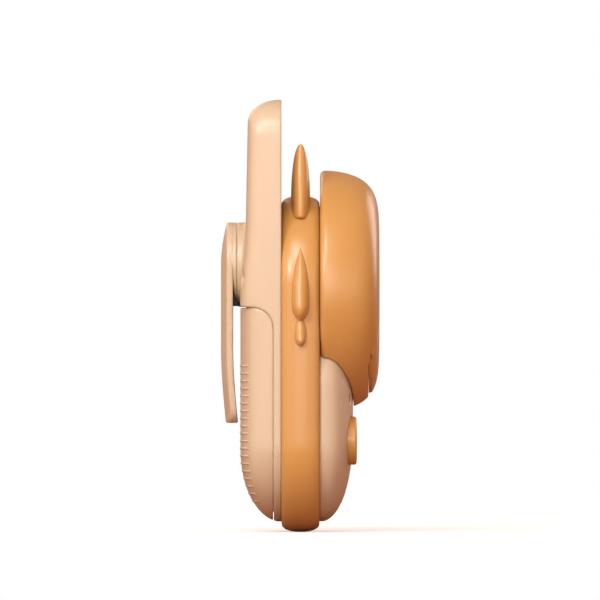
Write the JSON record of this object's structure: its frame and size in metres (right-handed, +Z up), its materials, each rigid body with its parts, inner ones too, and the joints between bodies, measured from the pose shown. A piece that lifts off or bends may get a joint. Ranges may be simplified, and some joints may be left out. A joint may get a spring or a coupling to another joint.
{
  "type": "toy walkie-talkie",
  "caption": "Animal-shaped toy walkie-talkie with an aerial, round head, two push buttons, sliding battery door and sprung belt clip.",
  "frame": {"origin": "under the middle of the trim band, level with the band's lowest point", "axes": "+Z up along the aerial, -Y out of the face, +X to the animal's left"},
  "size_m": [0.0786, 0.0476, 0.1293],
  "materials": {
    "sand_plastic": "satin moulded plastic",
    "amber_plastic": "satin moulded plastic",
    "black_gloss": "polished",
    "black_rubber": "soft rubber",
    "black_cloth": "woven",
    "black_plastic": "moulded plastic",
    "cone_paper": "pressed paper",
    "zinc": "zinc plated",
    "tinplate": "tin plated",
    "lens_plastic": "clear moulded lens",
    "led_resin": "resin",
    "board_green": "solder mask",
    "ferrite": "moulded former",
    "copper": "enamelled wire",
    "wire_red": "insulated wire",
    "cell_jacket": "printed jacket, no lettering"
  },
  "bodies": {
    "housing": {"rear_shell": "sand_plastic", "aerial_cover": "sand_plastic", "trim_band": "amber_plastic", "ear_left": "amber_plastic", "ear_right": "amber_plastic", "cheek_tufts_left": "amber_plastic", "cheek_tufts_right": "amber_plastic", "front_shell": "sand_plastic", "head_shell": "amber_plastic", "head_back": "amber_plastic", "muzzle_plate": "amber_plastic", "eye_left": "black_gloss", "eye_right": "black_gloss", "nose": "black_gloss", "grille_cloth": "black_cloth", "speaker_gasket": "black_rubber", "speaker_frame": "zinc", "speaker_cone": "cone_paper", "speaker_magnet": "zinc", "speaker_wires": "wire_red", "talk_switch": "tinplate", "call_switch": "tinplate", "indicator_lens": "lens_plastic", "indicator_led": "led_resin", "microphone": "tinplate", "microphone_boot": "black_rubber", "circuit_board": "board_green", "radio_shield": "tinplate", "board_chips": "black_plastic", "board_screws": "zinc", "aerial_core": "ferrite", "aerial_coil": "copper", "aerial_lead": "copper", "battery_tray": "black_plastic", "battery_left": "cell_jacket", "battery_middle": "cell_jacket", "battery_right": "cell_jacket", "battery_springs": "zinc", "battery_contacts": "tinplate", "battery_leads": "wire_red", "clip_base": "sand_plastic", "clip_wedge": "black_rubber", "clip_screws": "zinc", "housing_screws": "zinc", "head_screws": "zinc"},
    "talk_button": {"talk_button": "amber_plastic", "talk_switch_stem": "black_plastic"},
    "call_button": {"call_button": "amber_plastic", "call_switch_stem": "black_plastic"},
    "battery_door": {"battery_door": "sand_plastic"},
    "clip_arm": {"clip_arm": "sand_plastic"}
  },
  "joints": [
    {"name": "talk_press", "type": "slide", "parent": "housing", "child": "talk_button", "axis": [0, 1, 0], "range_m": [0, 0.0008], "stiffness_N_per_m": 800, "springref_m": -0.0005},
    {"name": "call_press", "type": "slide", "parent": "housing", "child": "call_button", "axis": [0, 1, 0], "range_m": [0, 0.0008], "stiffness_N_per_m": 800, "springref_m": -0.0005},
    {"name": "door_slide", "type": "slide", "parent": "housing", "child": "battery_door", "axis": [0, 0, -1], "range_m": [0, 0.066]},
    {"name": "clip_flex", "type": "hinge", "parent": "housing", "child": "clip_arm", "pos_m": [0, 0.02205, 0.079], "axis": [1, 0, 0], "range_deg": [0, 12], "stiffness_Nm_per_rad": 0.3, "springref_deg": -2.86}
  ]
}
